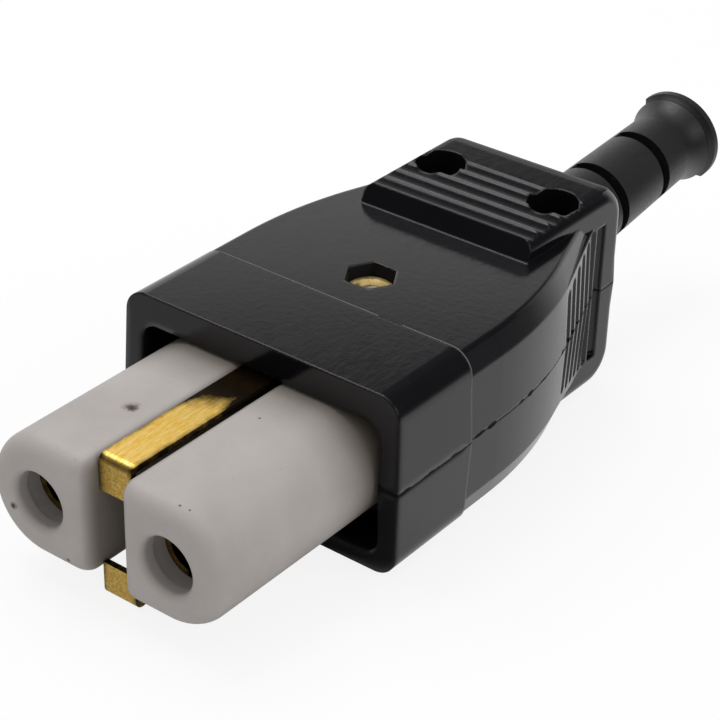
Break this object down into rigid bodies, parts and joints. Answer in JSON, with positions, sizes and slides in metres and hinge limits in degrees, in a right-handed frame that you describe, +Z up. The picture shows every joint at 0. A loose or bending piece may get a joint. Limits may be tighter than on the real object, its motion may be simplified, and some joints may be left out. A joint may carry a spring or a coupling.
{
  "type": "appliance plug",
  "caption": "Two-pole hot appliance plug with ceramic barrels, sprung earth strips, a screwed two-part moulded shell and a rubber cord guard.",
  "frame": {"origin": "bottom centre of the bounding box, at the outer face of the lower grip pad", "axes": "-Y the way the plug is pushed onto the appliance pins, +X across the pins, +Z up from the lower to the upper shell"},
  "size_m": [0.0414, 0.1214, 0.029],
  "materials": {
    "bakelite": "polished black phenolic moulding",
    "ceramic": "unglazed off-white steatite",
    "brass": "rolled brass, a little tarnished",
    "steel": "zinc plated steel",
    "rubber": "matte black rubber"
  },
  "bodies": {
    "root": {"upper_shell": "bakelite", "lower_shell": "bakelite", "ceramic_barrel_left": "ceramic", "ceramic_barrel_right": "ceramic", "socket_contact_left": "brass", "socket_contact_right": "brass", "contact_spring_left": "steel", "contact_spring_right": "steel", "terminal_screw_left": "steel", "terminal_screw_right": "steel", "earth_contact": "brass", "earth_plate": "brass", "earth_rivet": "brass", "earth_terminal_screw": "steel", "earth_washer": "steel", "centre_screw": "steel", "centre_nut": "brass", "rear_screw_left": "steel", "rear_screw_right": "steel", "rear_nut_left": "brass", "rear_nut_right": "brass", "cord_clamp_bar": "bakelite", "clamp_screw_left": "steel", "clamp_screw_right": "steel", "cable_sleeve": "rubber"}
  },
  "joints": []
}
